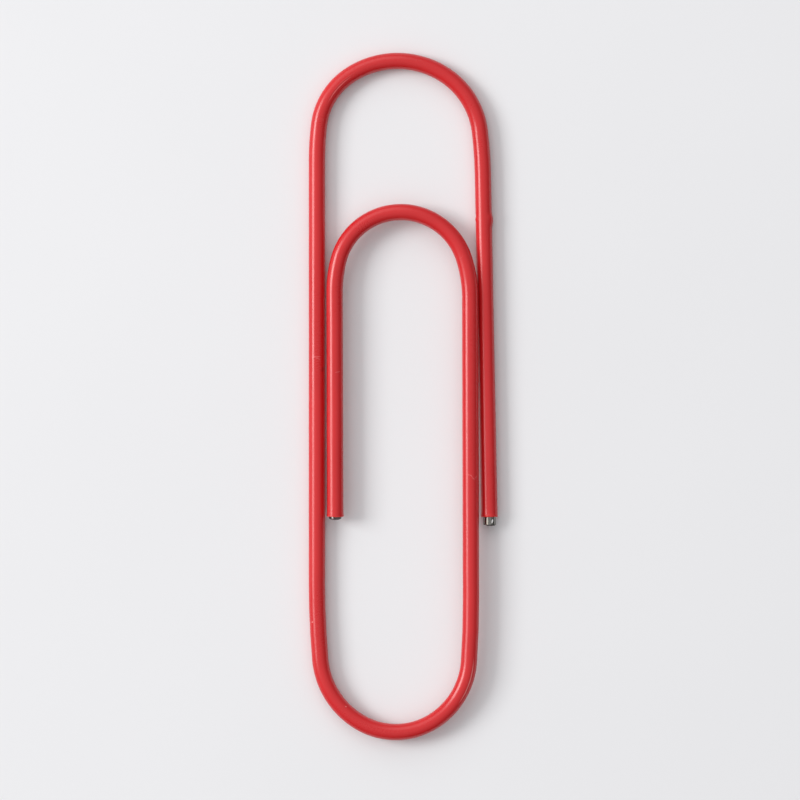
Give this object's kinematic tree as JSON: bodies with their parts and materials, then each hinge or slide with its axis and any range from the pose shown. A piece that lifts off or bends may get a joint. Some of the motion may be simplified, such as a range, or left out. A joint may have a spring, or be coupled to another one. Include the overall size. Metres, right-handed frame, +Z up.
{
  "type": "paper clip",
  "caption": "Large flat paper clip bent from one vinyl-coated steel wire, with an outer loop, a long tongue that springs open and two free legs.",
  "frame": {"origin": "middle of the surface that the clip lies on, centred in plan on the coated wire", "axes": "+Y along the clip from its bottom bend to its top bend, +X from the frame leg to the outer leg, +Z up, on the side where the tongue rides over the outer leg"},
  "size_m": [0.0276, 0.1, 0.0035],
  "materials": {
    "vinyl_coating": "smooth satin-gloss soft vinyl, warm red all through",
    "steel_wire": "bare drawn low-carbon steel, sheared at both ends"
  },
  "bodies": {
    "outer_leg": {"outer_leg_wire": "steel_wire", "outer_leg_coating": "vinyl_coating"},
    "frame": {"frame_wire": "steel_wire", "frame_coating": "vinyl_coating"},
    "tongue": {"tongue_wire": "steel_wire", "tongue_coating": "vinyl_coating"},
    "inner_leg": {"inner_leg_wire": "steel_wire", "inner_leg_coating": "vinyl_coating"}
  },
  "joints": [
    {"name": "outer_leg_flex", "type": "hinge", "parent": "outer_leg", "child": "frame", "pos_m": [-0.00082, 0.0488, 0.00117], "axis": [-1, 0, 0], "range_deg": [0, 10], "stiffness_Nm_per_rad": 1.45},
    {"name": "tongue_flex", "type": "hinge", "parent": "frame", "child": "tongue", "pos_m": [-0.0011, -0.0488, 0.0018], "axis": [1, 0, 0], "range_deg": [0, 15], "stiffness_Nm_per_rad": 1.49},
    {"name": "inner_leg_flex", "type": "hinge", "parent": "tongue", "child": "inner_leg", "pos_m": [-0.00034, 0.02676, 0.00234], "axis": [-1, 0, 0], "range_deg": [0, 8], "stiffness_Nm_per_rad": 1.95}
  ]
}
